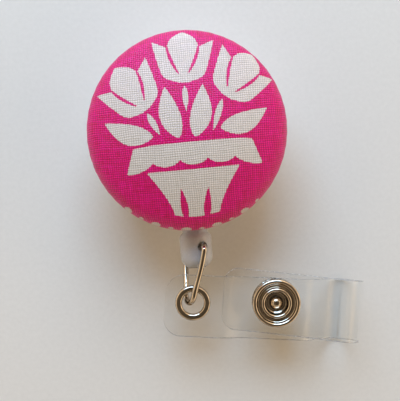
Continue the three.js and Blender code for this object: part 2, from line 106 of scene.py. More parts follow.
def make_piece(name, points, faces, materials, body, replaced=()):
    """A mesh object from points in millimetres, riding on a body and standing for CAD nodes."""
    mesh = bpy.data.meshes.new(name)
    mesh.from_pydata((np.asarray(points) * MM).tolist(), [], [list(face) for face in faces])
    mesh.validate()
    mesh.update()
    for material in materials:
        mesh.materials.append(material)
    mesh.shade_smooth()
    piece = bpy.data.objects.new(name, mesh)
    bpy.context.scene.collection.objects.link(piece)
    if body:
        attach(piece, body)
    if replaced:
        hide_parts(*replaced)
    return piece


def sweep_faces(rings, sides, caps=False):
    """The quads between closed rings of points, and the two end caps where they are wanted."""
    faces = []
    for i in range(rings - 1):
        for k in range(sides):
            a, b = i * sides + k, i * sides + (k + 1) % sides
            faces.append((a, b, b + sides, a + sides))
    if caps:
        faces.append(tuple(reversed(range(sides))))
        faces.append(tuple(range((rings - 1) * sides, rings * sides)))
    return faces


def arc(across, up, radius, start, end, steps=8):
    """Points of an arc in a plane, with the angles in degrees."""
    angles = np.radians(np.linspace(start, end, steps + 1))
    return [(across + radius * math.cos(a), up + radius * math.sin(a)) for a in angles]


def turned(outline, segments, centre, axis=(0, 0, 1)):
    """Points and faces of a closed outline of (radius, height) turned about an axis."""
    axis = Vector(axis).normalized()
    side = axis.orthogonal().normalized()
    other = axis.cross(side)
    points, faces = [], []
    for k in range(segments):
        turn = 2 * math.pi * k / segments
        outward = side * math.cos(turn) + other * math.sin(turn)
        points += [tuple(Vector(centre) + outward * r + axis * h) for r, h in outline]
    count = len(outline)
    for k in range(segments):
        here, there = k * count, (k + 1) % segments * count
        for i in range(count):
            j = (i + 1) % count
            faces.append((here + i, there + i, there + j, here + j))
    return points, faces


def weld(piece, distance=0.002):
    """Joins the points that a turned outline leaves on its axis, and points the faces outward."""
    mesh = bmesh.new()
    mesh.from_mesh(piece.data)
    bmesh.ops.remove_doubles(mesh, verts=mesh.verts, dist=distance * MM)
    bmesh.ops.recalc_face_normals(mesh, faces=mesh.faces)
    mesh.to_mesh(piece.data)
    mesh.free()
    return piece


def smooth_by_angle(obj, degrees=35):
    """Smooth shading, with edges sharper than the angle kept."""
    obj.data.shade_smooth()
    obj.data.set_sharp_from_angle(angle=math.radians(degrees))


def drill(piece, centre, radius, low, high, axis=(0, 0, 1)):
    """Cuts a round hole through a piece, with all sizes in millimetres."""
    outline = [(0, low), (radius, low), (radius, high), (0, high)]
    points, faces = turned(outline, 48, centre, axis)
    cutter = weld(make_piece("cutter", points, faces, [], None))
    modifier = piece.modifiers.new("hole", "BOOLEAN")
    modifier.object = cutter
    modifier.solver = "EXACT"
    evaluated = piece.evaluated_get(bpy.context.evaluated_depsgraph_get())
    cut = bpy.data.meshes.new_from_object(evaluated)
    piece.modifiers.clear()
    piece.data = cut
    bpy.data.objects.remove(cutter)


# ---- Materials ----


class Shader:
    """A short way to add the nodes of a material, or of the world, and link them."""

    def __init__(self, name, kind="materials"):
        self.owner = getattr(bpy.data, kind).new(name)
        self.owner.use_nodes = True
        self.tree = self.owner.node_tree
        self.tree.nodes.clear()

    def add(self, kind, inputs=(), **settings):
        node = self.tree.nodes.new(kind)
        for key, value in settings.items():
            setattr(node, key, value)
        for key, value in dict(inputs).items():
            self.set(node.inputs[key], value)
        return node

    def set(self, socket, value):
        if isinstance(value, bpy.types.NodeSocket):
            self.tree.links.new(value, socket)
        else:
            socket.default_value = value

    def math(self, operation, *values):
        node = self.add("ShaderNodeMath", operation=operation)
        for socket, value in zip(node.inputs, values):
            self.set(socket, value)
        return node.outputs[0]

    def mix(self, factor, a, b, kind="MIX"):
        node = self.add("ShaderNodeMix", data_type="RGBA", blend_type=kind)
        for index, value in ((0, factor), (6, a), (7, b)):
            self.set(node.inputs[index], value)
        return node.outputs[2]

    def remap(self, value, low, high, to_low=0.0, to_high=1.0, smooth=False):
        node = self.add("ShaderNodeMapRange", interpolation_type="SMOOTHSTEP" if smooth else "LINEAR")
        for index, number in enumerate((value, low, high, to_low, to_high)):
            self.set(node.inputs[index], number)
        return node.outputs[0]

    def noise(self, scale, detail, vector, roughness=0.5):
        inputs = {"Vector": vector, "Scale": scale, "Detail": detail, "Roughness": roughness}
        return self.add("ShaderNodeTexNoise", inputs).outputs[0]

    def place(self, scale=(1, 1, 1)):
        """Coordinates in the object's own frame, in millimetres, stretched by `scale`."""
        source = self.add("ShaderNodeTexCoord").outputs["Object"]
        inputs = {"Vector": source, "Scale": [number / MM for number in scale]}
        return self.add("ShaderNodeMapping", inputs).outputs[0]

    def stretch(self, vector, scale):
        return self.add("ShaderNodeMapping", {"Vector": vector, "Scale": scale}).outputs[0]

    def bump(self, height, distance, strength, normal=None):
        inputs = {"Height": height, "Distance": distance * MM, "Strength": strength}
        if normal is not None:
            inputs["Normal"] = normal
        return self.add("ShaderNodeBump", inputs).outputs[0]

    def finish(self, surface, output="ShaderNodeOutputMaterial"):
        self.tree.links.new(surface, self.add(output).inputs["Surface"])
        return self.owner


def plain_weave(s, flat):
    """The height of a plain weave's threads, which wander a little over the cloth."""
    thread = 0.42
    drift = s.add("ShaderNodeTexNoise", {"Vector": flat, "Scale": 0.2, "Detail": 2.0}).outputs["Color"]
    drifted = s.add(
        "ShaderNodeVectorMath", {0: drift, 1: (0.8, 0.8, 0), 2: flat}, operation="MULTIPLY_ADD"
    ).outputs[0]
    split = s.add("ShaderNodeSeparateXYZ", {0: drifted})
    warp = s.math("SINE", s.math("MULTIPLY", split.outputs[0], math.pi / thread))
    weft = s.math("SINE", s.math("MULTIPLY", split.outputs[1], math.pi / thread))
    cross = s.math("MULTIPLY", s.math("MULTIPLY", warp, weft), 0.5)
    over_warp = s.math("MULTIPLY_ADD", s.math("ABSOLUTE", warp), 0.5, cross)
    over_weft = s.math("SUBTRACT", s.math("MULTIPLY", s.math("ABSOLUTE", weft), 0.5), cross)
    return s.math("MAXIMUM", over_warp, over_weft)


def cotton():
    """Plain-weave cotton: a pink print that leaves the motif white. `cloth` holds the flat cloth's
    place in millimetres and `motif` how far a point is inside the motif."""
    s = Shader("printed_cotton")
    flat = s.add("ShaderNodeAttribute", attribute_name="cloth").outputs["Vector"]
    motif = s.add("ShaderNodeAttribute", attribute_name="motif").outputs["Fac"]
    weave = plain_weave(s, flat)
    warp_slub = s.noise(1.0, 4.0, s.stretch(flat, (2.4, 0.35, 1)))
    weft_slub = s.noise(1.0, 4.0, s.stretch(flat, (0.35, 2.4, 1)))
    slub = s.math("MULTIPLY", s.math("ADD", warp_slub, weft_slub), 0.5)
    fuzz = s.noise(4.0, 3.0, flat)
    dyed_edge = s.math("MULTIPLY_ADD", s.math("ADD", fuzz, weave), 0.16, -0.18)
    printed = s.remap(s.math("ADD", motif, dyed_edge), -0.06, 0.06, smooth=True)
    bright = s.remap(slub, 0.38, 0.62)
    pink = s.mix(bright, (0.6, 0.0, 0.1, 1), (0.79, 0.0, 0.235, 1))
    white = s.mix(bright, (0.59, 0.57, 0.53, 1), (0.67, 0.65, 0.62, 1))
    thickness = s.math("MULTIPLY_ADD", fuzz, 0.5, weave)
    # Painted shade and light: the colour is darkened to `gap` between the threads, more on the pink than the
    # white, and lightened up to 1.2 on the thread tops, following the weave's height.
    gap = s.math("MULTIPLY_ADD", printed, 0.25, 0.42)
    painted_thread_shade = s.remap(thickness, 0.3, 1.15, gap, 1.2)
    painted_shade_grey = s.add("ShaderNodeCombineColor", {0: painted_thread_shade, 1: painted_thread_shade, 2: painted_thread_shade}).outputs[0]
    colour = s.mix(1.0, s.mix(printed, pink, white), painted_shade_grey, "MULTIPLY")

    relief = s.bump(weave, 0.09, 0.8, s.bump(slub, 0.16, 0.5))
    return s.finish(
        s.add(
            "ShaderNodeBsdfPrincipled",
            {
                "Base Color": colour,
                "Roughness": s.remap(fuzz, 0.3, 0.7, 0.32, 0.4),
                "Specular IOR Level": 0.75,
                "Specular Tint": (1.0, 0.55, 1.0, 1),
                "Sheen Weight": 0.03,
                "Sheen Roughness": 0.3,
                "Sheen Tint": (0.85, 0.65, 1.0, 1),
                "Normal": relief,
            },
        ).outputs[0]
    )


def lamps_through(s, surface, tint):
    """Lets lamps and scattered light straight through a clear surface, for a pale tinted shadow."""
    path = s.add("ShaderNodeLightPath")
    passes = s.math("MAXIMUM", path.outputs["Is Shadow Ray"], path.outputs["Is Diffuse Ray"])
    clear = s.add("ShaderNodeBsdfTransparent", {"Color": tint})
    return s.add("ShaderNodeMixShader", {0: passes, 1: surface, 2: clear.outputs[0]}).outputs[0]


def vinyl():
    """Clear soft vinyl sheet with the faint waves and scuffs of a handled strap.

    It doesn't bend light. Its inner faces have the index turned over, and so reflect as its outer ones do."""
    index = 1.42
    s = Shader("clear_vinyl")
    waves = s.noise(0.16, 2.0, s.place())
    scuffs = s.noise(1.4, 5.0, s.place((1, 4, 1)))
    normal = s.bump(scuffs, 0.02, 0.15, s.bump(waves, 0.6, 0.25))
    inside = s.add("ShaderNodeNewGeometry").outputs["Backfacing"]
    ior = s.math("MULTIPLY_ADD", inside, 1 / index - index, index)
    reflects = s.add("ShaderNodeFresnel", {"IOR": ior, "Normal": normal}).outputs[0]
    clear = s.add("ShaderNodeBsdfTransparent", {"Color": (0.994, 0.996, 0.994, 1)}).outputs[0]
    rough = s.remap(scuffs, 0.45, 0.75, 0.05, 0.22)
    shine = {"Color": (1, 1, 1, 1), "Roughness": rough, "Normal": normal}
    gloss = s.add("ShaderNodeBsdfGlossy", shine).outputs[0]
    return s.finish(s.add("ShaderNodeMixShader", {0: reflects, 1: clear, 2: gloss}).outputs[0])


def vinyl_edge():
    """The strap's cut edge, which is slightly milky; its grey tint is painted shade that makes the edge show
    as a thin darker line.
    """
    s = Shader("vinyl_cut_edge")
    grain = s.noise(2.2, 4.0, s.place())
    glass = s.add(
        "ShaderNodeBsdfPrincipled",
        {
            # Painted shade: the grey tint darkens the cut edge into a thin line.
            "Base Color": (0.5, 0.51, 0.55, 1),
            "Roughness": s.remap(grain, 0.3, 0.7, 0.12, 0.34),
            "IOR": 1.46,
            "Transmission Weight": 0.82,
            "Normal": s.bump(grain, 0.05, 0.3),
        },
    )
    return s.finish(lamps_through(s, glass.outputs[0], (0.55, 0.56, 0.56, 1)))


def metal(name, colour, roughness):
    """Plated or plain metal with cloudy polish and fine scratches."""
    scratch, worn = 0.05, 0.06
    s = Shader(name)
    cloudy = s.noise(0.7, 4.0, s.place())
    scratches = s.noise(1.6, 6.0, s.place((0.25, 5.0, 1.0)), 0.7)
    darker = tuple(c * 0.78 for c in colour[:3]) + (1,)
    polish = s.remap(cloudy, 0.3, 0.7, roughness, roughness + worn)
    rough = s.math("ADD", polish, s.remap(scratches, 0.5, 0.8, 0.0, worn))
    return s.finish(
        s.add(
            "ShaderNodeBsdfPrincipled",
            {
                "Base Color": s.mix(s.remap(cloudy, 0.35, 0.75), colour, darker),
                "Metallic": 1.0,
                "Roughness": rough,
                "Normal": s.bump(scratches, 0.02, scratch),
            },
        ).outputs[0]
    )


def plastic(name, colour, roughness, glow=0.0, clear=0.0, grain=0.05):
    """Moulded plastic with a fine grain; light spreads in it by `glow` and passes through by `clear`."""
    s = Shader(name)
    grains = s.noise(6.0, 3.0, s.place())
    cloud = s.noise(0.35, 2.0, s.place())
    darker = tuple(c * 0.94 for c in colour[:3]) + (1,)
    return s.finish(
        s.add(
            "ShaderNodeBsdfPrincipled",
            {
                "Base Color": s.mix(s.remap(cloud, 0.35, 0.65), colour, darker),
                "Roughness": s.remap(grains, 0.3, 0.7, roughness - 0.04, roughness + 0.08),
                "Subsurface Weight": glow,
                "Subsurface Radius": (0.0016, 0.0014, 0.0012),
                "Subsurface Scale": 1.0,
                "Transmission Weight": clear,
                "IOR": 1.5,
                "Normal": s.bump(grains, 0.02, grain),
            },
        ).outputs[0]
    )


def braid():
    """White braided nylon."""
    s = Shader("braided_nylon")
    strands = s.add(
        "ShaderNodeTexWave",
        {"Vector": s.place(), "Scale": 1.1, "Distortion": 1.2, "Detail": 2.0},
        bands_direction="DIAGONAL",
    ).outputs["Fac"]
    # Painted shade: the colour is darker in the grooves between the strands, where the bump is low.
    colour = s.mix(strands, (0.7, 0.68, 0.63, 1), (0.9, 0.88, 0.84, 1))
    inputs = {"Base Color": colour, "Roughness": 0.75, "Normal": s.bump(strands, 0.08, 0.8)}
    return s.finish(s.add("ShaderNodeBsdfPrincipled", inputs).outputs[0])


def foam():
    """White foam tape, with its open cells at the edge."""
    s = Shader("foam_tape")
    cells = s.add("ShaderNodeTexVoronoi", {"Vector": s.place(), "Scale": 4.0}).outputs["Distance"]
    # Painted shade: the colour is darker in the pits of the cells, where the bump is low.
    colour = s.mix(s.remap(cells, 0.0, 0.6), (0.72, 0.71, 0.68, 1), (0.9, 0.9, 0.87, 1))
    inputs = {"Base Color": colour, "Roughness": 0.9, "Normal": s.bump(cells, 0.08, 0.5)}
    return s.finish(s.add("ShaderNodeBsdfPrincipled", inputs).outputs[0])


def floor_paint():
    """A plain pale surface with a very faint grain."""
    s = Shader("pale_floor")
    grain = s.noise(1.2, 4.0, s.place())
    colour = s.mix(s.remap(grain, 0.3, 0.7), (0.71, 0.715, 0.72, 1), (0.74, 0.745, 0.75, 1))
    inputs = {"Base Color": colour, "Roughness": 0.85, "Normal": s.bump(grain, 0.05, 0.3)}
    return s.finish(s.add("ShaderNodeBsdfPrincipled", inputs).outputs[0])


# ---- Camera, light and floor ----


def make_camera():
    """Straight above, turned a little with the reel, as the picture was taken."""
    height, lens, roll = 235, 104.4, -4.3
    aim = Vector((1.47, -13.48, 0))
    camera = bpy.data.objects.new("camera", bpy.data.cameras.new("camera"))
    bpy.context.scene.collection.objects.link(camera)
    camera.location = (aim + Vector((0, 0, height))) * MM
    camera.rotation_euler = (0, 0, math.radians(roll))
    camera.data.sensor_width = 36
    camera.data.lens = lens
    camera.data.clip_start = 0.01
    bpy.context.scene.camera = camera


def make_lamp(name, place, width, height, power, colour):
    """A soft rectangular lamp that faces the middle of the object."""
    lamp = bpy.data.objects.new(name, bpy.data.lights.new(name, "AREA"))
    bpy.context.scene.collection.objects.link(lamp)
    target = Vector((2, -14, 4)) * MM
    lamp.location = Vector(place) * MM
    lamp.rotation_euler = (lamp.location - target).to_track_quat("Z", "Y").to_euler()
    lamp.data.shape = "RECTANGLE"
    lamp.data.size = width * MM
    lamp.data.size_y = height * MM
    lamp.data.energy = power
    lamp.data.color = colour


def make_light():
    """A cool soft window light from the top of the picture, in a warm dim room with a plain pale wall."""
    cool = (0.43, 0.69, 0.95)
    make_lamp("window", place=(-25, 320, 275), width=320, height=290, power=2.0, colour=cool)
    room = Shader("room", "worlds")
    direction = room.add("ShaderNodeTexCoord").outputs["Generated"]
    parts = room.add("ShaderNodeSeparateXYZ", {0: direction})
    toward_window = room.math("MULTIPLY_ADD", parts.outputs[0], 0.45, parts.outputs[1])
    window_side = room.remap(toward_window, -0.9, 0.9, 0.5, 1.5)
    up = parts.outputs[2]
    patches = room.remap(room.noise(2.2, 1.0, direction), 0.35, 0.65, 0.3, 1.7)
    ceiling = room.remap(up, 0.45, 0.93, 1.0, 0.08, smooth=True)
    walls = room.math("MULTIPLY", room.math("MULTIPLY", patches, ceiling), window_side)
    strength = room.math("MULTIPLY", walls, 1.19)
    lit = room.add("ShaderNodeBackground", {"Color": (1.0, 0.75, 0.485, 1), "Strength": strength})
    wall = room.add("ShaderNodeBackground", {"Color": (0.72, 0.72, 0.71, 1)})
    seen = room.add("ShaderNodeLightPath").outputs["Is Camera Ray"]
    shown = room.add("ShaderNodeMixShader", {0: seen, 1: lit.outputs[0], 2: wall.outputs[0]}).outputs[0]
    bpy.context.scene.world = room.finish(shown, "ShaderNodeOutputWorld")


def make_floor():
    """A wide plain floor at the height of the object's lowest point."""
    half = 3000
    low = cad_box[0].z / MM
    points = [(-half, -half, low), (half, -half, low), (half, half, low), (-half, half, low)]
    make_piece("floor", points, [(0, 1, 2, 3)], [floor_paint()], None)


# ---- Motif: a generic pot of tulips, drawn from plain curves ----


def closed_curve(points, corners):
    """A closed outline through the points: round at each one, but sharp at those in `corners`."""
    steps = 10
    points = np.asarray(points, float)
    count = len(points)
    tangents = (np.roll(points, -1, 0) - np.roll(points, 1, 0)) / 2
    t = np.linspace(0, 1, steps, endpoint=False)[:, None]
    outline = []
    for i in range(count):
        j = (i + 1) % count
        step = points[j] - points[i]
        leave = step if i in corners else tangents[i]
        arrive = step if j in corners else tangents[j]
        outline.append(
            (2 * t**3 - 3 * t**2 + 1) * points[i]
            + (t**3 - 2 * t**2 + t) * leave
            + (3 * t**2 - 2 * t**3) * points[j]
            + (t**3 - t**2) * arrive
        )
    return np.concatenate(outline)


def placed(outline, x, y, turn):
    """An outline turned counter-clockwise by some degrees and moved."""
    a = math.radians(turn)
    rotation = np.array([[math.cos(a), math.sin(a)], [-math.sin(a), math.cos(a)]])
    return outline @ rotation + np.array([x, y])


def tulip_outline():
    """A cup of three pointed petals, standing on its base at the origin."""
    right = [(1.0, 0.0), (3.7, 1.2), (4.9, 4.2), (6.0, 8.4), (3.1, 7.0), (2.2, 8.9), (0.0, 10.6)]
    left = [(-x, y) for x, y in right[-2::-1]]
    return closed_curve(right + left, corners=(0, 3, 4, 6, 8, 9, 12))


def petal_line(side):
    """The thin curved gap between a side petal and the middle one."""
    t = np.linspace(0, 1, 16)
    middle = side * (3.0 - 2.1 * (1 - t) ** 1.6)
    up = 1.7 + 5.6 * t
    half = 0.34 * np.sin(math.pi * np.clip(t * 0.75 + 0.12, 0, 1))
    return np.concatenate([np.stack([middle + half, up], 1), np.stack([middle - half, up], 1)[::-1]])


def leaf(length, width, bow=0.0):
    """A pointed leaf from the origin up, bowed to one side."""
    t = np.linspace(0, 1, 24)
    spine = bow * np.sin(math.pi * t)
    half = width / 2 * np.sin(math.pi * t**0.8) ** 0.9
    return np.concatenate([
        np.stack([spine + half, length * t], 1),
        np.stack([spine - half, length * t], 1)[::-1],
    ])


def pot_rim():
    """A band with drooping ends above and shallow scallops below."""
    scallops, width, deep = 5, 23.4, 1.1
    x = np.linspace(width / 2, -width / 2, 81)
    droop = 1.9 * np.abs(x / (width / 2)) ** 5
    below = -3.2 - deep * np.abs(np.sin(math.pi * (x / width + 0.5) * scallops)) ** 0.7 - droop
    lower = np.stack([x * 1.1, below], 1)
    upper = np.stack([x[::-1] * 0.96, -0.25 * droop[::-1]], 1)
    return np.concatenate([upper, lower])


def pot_body():
    """A tapering pot with a rounded foot."""
    top, foot, height = 8.8, 4.3, 9.2
    t = np.linspace(0, 1, 14)
    right = np.stack([foot + (top - foot) * (1 - t) ** 1.4, -height * 0.93 * t], 1)
    x = np.linspace(foot, -foot, 21)[1:-1]
    lower = np.stack([x, -height * (0.93 + 0.07 * np.cos(0.5 * math.pi * x / foot))], 1)
    return np.concatenate([right, lower, right[::-1] * (-1, 1)])


def distance_inside(points, outline):
    """How far each point is inside a closed outline, and below zero outside it."""
    nearest = np.full(len(points), np.inf)
    inside = np.zeros(len(points), bool)
    px, py = points[:, 0], points[:, 1]
    for (ax, ay), (bx, by) in zip(outline, np.roll(outline, -1, 0)):
        dx, dy = bx - ax, by - ay
        t = np.clip(((px - ax) * dx + (py - ay) * dy) / max(dx * dx + dy * dy, 1e-12), 0, 1)
        nearest = np.minimum(nearest, np.hypot(px - ax - t * dx, py - ay - t * dy))
        if ay != by:
            crosses = ((ay > py) != (by > py)) & (px < ax + (py - ay) * dx / dy)
            inside ^= crosses
    return np.where(inside, nearest, -nearest)


def motif_shapes():
    """Each shape's outline, around the button's middle, and whether it is cut out of those before it."""
    for x, y, turn in ((0.1, 8.6, -2), (-7.3, 3.9, 33), (7.9, 5.4, -36)):
        yield placed(tulip_outline(), x, y, turn), False
        for side in (-1, 1):
            yield placed(petal_line(side), x, y, turn), True
    stems = ((-7.1, 3.3, 207, 4.8, 1.2), (0.2, 8.0, 180, 4.8, 1.1), (7.0, 5.0, 160, 6.2, 1.2))
    for x, y, turn, length, width in stems:
        yield placed(leaf(length, width), x, y, turn), False
    for side in (-1, 1):
        yield placed(leaf(10.0, 3.9, side * 0.5), side * 1.5, -1.7, -side * 12), False
        yield placed(leaf(9.8, 3.9, side * 0.8), side * 6.3, -0.8 + 0.4 * side, -side * 70), False
    yield placed(pot_rim(), 0.9, -2.5, 1.2), False
    yield placed(pot_body(), 0.7, -7.6, 1.2), False
    for x, turn in ((-1.2, 6), (2.6, -6)):
        yield placed(leaf(6.5, 1.4), x, -17.6, turn), True
    dots, dot_ring = 40, 20.1
    for i in range(dots):
        angle = 2 * math.pi * (i + 0.5) / dots
        if math.sin(angle) > -0.7:
            continue
        size = 1.1 if i % 2 else 0.6
        turn = np.linspace(0, 2 * math.pi, 20, endpoint=False)
        dot = np.stack([np.cos(turn) * size, np.sin(turn) * size * 0.8], 1)
        x, y = dot_ring * math.cos(angle), dot_ring * math.sin(angle)
        yield placed(dot, x, y, 90 - math.degrees(angle)), False


def motif_depth(points):
    """How far each point is inside the motif, and below zero outside it."""
    depth = np.full(len(points), -np.inf)
    for outline, is_cut in motif_shapes():
        inside = distance_inside(points, outline)
        depth = np.minimum(depth, -inside) if is_cut else np.maximum(depth, inside)
    return np.clip(depth, -2, 2)


# ---- Cloth on the button ----


def unit_tangents(line, *distances):
    """The direction of a line at each of its points."""
    tangent = np.gradient(line, *distances, axis=0)
    return tangent / np.linalg.norm(tangent, axis=1)[:, None]


def cloth_section():
    """The cloth's outside from the button's middle out, down round the rim and in under it.

    Returns the radius, the height and the outward normal of each point."""
    low, high = box_mm("fabric_cover")
    radius = high.x
    dome, shoulder, rim, lip = 48.48, 3.68, 1.18, 17.1
    tilt = math.degrees(math.asin((radius - shoulder) / (dome - shoulder)))
    shoulder_up = high.z - dome + (dome - shoulder) * math.cos(math.radians(tilt))
    parts = [
        arc(0, high.z - dome, dome, 90, 90 - tilt, 74),
        arc(radius - shoulder, shoulder_up, shoulder, 90 - tilt, 0, 22),
        arc(radius - rim, low.z + rim, rim, 0, -90, 10),
        [(lip, low.z), (lip - 0.25, low.z + 0.25), (lip - 0.3, low.z + 0.7), (lip - 0.3, low.z + 1.2)],
    ]
    line = np.array([point for part in parts for point in part])
    keep = np.r_[True, np.hypot(*np.diff(line, axis=0).T) > 1e-3]
    line = line[keep]
    line[0, 0] = 0
    tangent = unit_tangents(line)
    return line, np.stack([-tangent[:, 1], tangent[:, 0]], 1)


def gathers(turn, reach):
    """How far gathers push the cloth's edge out; `reach` is 0 on the face and 1 at the back."""
    pleats, pleat_depth, drift = 46, 0.10, 1.3
    creases, crease_depth = 101, 0.04
    folds = pleat_depth * reach * np.sin(pleats * turn + drift * np.sin(5 * turn))
    return folds + crease_depth * reach * np.sin(creases * turn)


def make_cloth():
    """The button's cover: one sheet of cotton with a thickness, stretched over the shell."""
    around, thick, tuck = 400, 0.3, 0.12
    beside_rim = 0.4
    line, normal = cloth_section()
    steps = np.r_[0, np.hypot(*np.diff(line, axis=0).T)]
    flat = np.cumsum(steps)
    rim_starts = flat[np.argmax(line[:, 0] >= line[:, 0].max() - beside_rim)]
    reach = np.clip((flat - rim_starts) / (flat[-1] - rim_starts), 0, 1)
    turn = 2 * np.pi * np.arange(around) / around

    rings = []
    for side in (0.0, -thick):
        r = line[:, :1] + normal[:, :1] * side
        z = line[:, 1:] + normal[:, 1:] * side
        push = gathers(turn[None, :], reach[:, None]) - tuck * reach[:, None]
        rr = np.maximum(r + normal[:, :1] * push, 0)
        zz = z + normal[:, 1:] * push
        zz = np.broadcast_to(zz, rr.shape)
        rings.append(np.stack([rr * np.cos(turn), rr * np.sin(turn), zz], 2))
    outer, inner = rings
    points = np.concatenate([outer.reshape(-1, 3), inner[::-1].reshape(-1, 3)])
    count = len(line)
    faces = sweep_faces(2 * count, around)
    cover = make_piece("button_cloth", points, faces, [cotton()], "case", ["fabric_cover"])

    where = np.stack([flat[:, None] * np.cos(turn), flat[:, None] * np.sin(turn)], 2)
    where = np.concatenate([where.reshape(-1, 2), where[::-1].reshape(-1, 2)])
    cloth = cover.data.attributes.new("cloth", "FLOAT_VECTOR", "POINT")
    cloth.data.foreach_set("vector", np.c_[where, np.zeros(len(where))].astype(np.float32).ravel())
    motif = cover.data.attributes.new("motif", "FLOAT", "POINT")
    motif.data.foreach_set("value", motif_depth(where).astype(np.float32))
    weld(cover)
    smooth_by_angle(cover, 60)


# ---- Strap and clip: strips bent along a side profile ----


def bezier(a, b, c, d, steps=40):
    t = np.linspace(0, 1, steps + 1)[:, None]
    a, b, c, d = (np.asarray(point, float) for point in (a, b, c, d))
    return a * (1 - t) ** 3 + 3 * b * t * (1 - t) ** 2 + 3 * c * t**2 * (1 - t) + d * t**3


def resampled(line, at, stations):
    """The points of a line at other distances along it."""
    return np.stack([np.interp(stations, at, line[:, i]) for i in (0, 1)], 1)


def even_steps(parts, step):
    """A line through the parts, with its points `step` apart, and their distances along it."""
    line = np.concatenate([np.asarray(part, float) for part in parts])
    far = np.r_[0, np.cumsum(np.hypot(*np.diff(line, axis=0).T))]
    keep = np.r_[True, np.diff(far) > 1e-6]
    line, far = line[keep], far[keep]
    at = np.linspace(0, far[-1], int(far[-1] / step) + 1)
    return resampled(line, far, at), at


def end_steps(at, corner, fine=14):
    """Distances along a strip, closer together in its rounded ends."""
    round_in = corner * (1 - np.cos(np.linspace(0, np.pi / 2, fine)))
    middle = at[(at > corner) & (at < at[-1] - corner)]
    return np.concatenate([round_in, middle, at[-1] - round_in[::-1]])


def strip_points(line, at, half_width, thick, place, skew=0.0, edge=0.14):
    """Rings of points round a strip with rounded edges, their count, and the sides that are cut edges."""
    tangent = unit_tangents(line, at)
    normal = np.stack([-tangent[:, 1], tangent[:, 0]], 1)
    edge = min(edge, thick / 2)
    corner = arc(0, 0, edge, 0, 90, 3)
    section = []
    for side, up in ((1, 1), (-1, 1), (-1, -1), (1, -1)):
        bend = corner if side * up > 0 else corner[::-1]
        section += [(side, side * (x - edge), up * (y + thick / 2 - edge)) for x, y in bend]
    rings = []
    for (x, z), (nx, nz), far in zip(line, normal, at):
        for side, inset, up in section:
            across = far * math.tan(skew) + side * half_width(far) + inset
            rings.append(place(x + nx * up, z + nz * up, across))
    per_side = len(corner)
    edges = {k for k in range(len(section)) if k % (2 * per_side) != per_side - 1}
    return np.array(rings), len(section), edges


def rounded_ends(width, length, first_corner, last_corner):
    """Half a strip's width at a distance along it, with the corners of its two ends rounded."""

    def half(far):
        corner = first_corner if far < length / 2 else last_corner
        short = max(0.0, corner - min(far, length - far))
        return width / 2 - corner + math.sqrt(max(0.0, corner**2 - short**2))

    return half


def strap_profile(start, out, eyelet_z, fold_z):
    """The strap from the side: out along the lower layer, round the fold and back along the upper one."""
    lower, upper = LOWER_LAYER, UPPER_LAYER
    bottom = box_mm("strap_lower")[0].z + STRAP_THICK / 2
    crown = box_mm("strap_upper")[1].z - STRAP_THICK / 2
    return even_steps(
        [
            [(start, eyelet_z), (4.4, eyelet_z)],
            bezier((4.4, eyelet_z), (7.6, eyelet_z), (8.6, lower), (11.6, lower)),
            [(11.6, lower), (20.8, lower)],
            bezier((20.8, lower), (24.6, lower), (25.4, bottom), (29.4, bottom)),
            bezier((29.4, bottom), (31.2, bottom), (out, 3.6), (out, fold_z)),
            bezier((out, fold_z), (out, 8.8), (31.2, crown), (29.6, crown)),
            bezier((29.6, crown), (27.0, crown), (25, upper), (20.8, upper)),
            [(20.8, upper), (11.4, upper)],
            bezier((11.4, upper), (9.4, upper), (7.8, upper + 0.3), (5.8, upper + 0.6)),
        ],
        0.2,
    )


def strap_layer(node, rings, edges, cut_end, holes, looks):
    """One piece of the strap with its holes; its cut edges and its cut end have the edge look.

    `cut_end` is 0 where the first end is the cut one, and 1 where the last one is."""
    count, sides = rings.shape[:2]
    faces = sweep_faces(count, sides, caps=True)
    layer = make_piece("vinyl_" + node, rings.reshape(-1, 3), faces, looks, None, [node])
    quads = (count - 1) * sides
    for i, face in enumerate(layer.data.polygons):
        on_edge = i < quads and i % sides in edges
        face.material_index = 1 if on_edge or i == quads + cut_end else 0
    weld(layer, 0.001)
    for spot, radius, z in holes:
        drill(layer, (spot.x, spot.y, 0), radius, z - 0.6, z + 0.6)
    smooth_by_angle(layer, 40)
    return layer


def make_strap():
    """The clear strap, whose line is worked out from the eyelet, the snap and the fold's edge.

    It is made in two pieces that meet under the fold; the lower piece rides on the strap's body and the upper
    one on no body."""
    eyelet, fold_edge = joint_mm("strap_turn"), joint_mm("flap_open")
    across = joint_axis("flap_open")
    along = Vector((across.y, -across.x, 0))
    width, eyelet_corner, flap_corner = 12.1, 3.5, 2.8
    start, skew, off_middle = -5.4, math.radians(1.75), 0.61
    out = (fold_edge - eyelet).dot(along) - STRAP_THICK / 2
    line, at = strap_profile(start, out, eyelet.z, fold_edge.z)
    stations = end_steps(at, flap_corner)
    line = resampled(line, at, stations)
    origin = eyelet - across * (-start * math.tan(skew) + off_middle)

    def place(x, z, sideways):
        spot = origin + along * x + across * sideways
        return (spot.x, spot.y, z)

    half = rounded_ends(width, at[-1], eyelet_corner, flap_corner)
    points, sides, edges = strip_points(line, stations, half, STRAP_THICK, place, skew)
    rings = points.reshape(len(line), sides, 3)
    seam = int(np.argmin(line[:, 1]))
    snap = middle_mm("snap_stud")
    looks = [vinyl(), vinyl_edge()]
    lower_holes = ((eyelet, 2.45, eyelet.z), (snap, 1.1, LOWER_LAYER))
    upper_holes = ((snap, 3.05, UPPER_LAYER),)
    lower = strap_layer("strap_lower", rings[: seam + 1], edges, 0, lower_holes, looks)
    upper = strap_layer("strap_upper", rings[seam:], edges, 1, upper_holes, looks)
    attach(lower, "strap")
    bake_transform(upper)


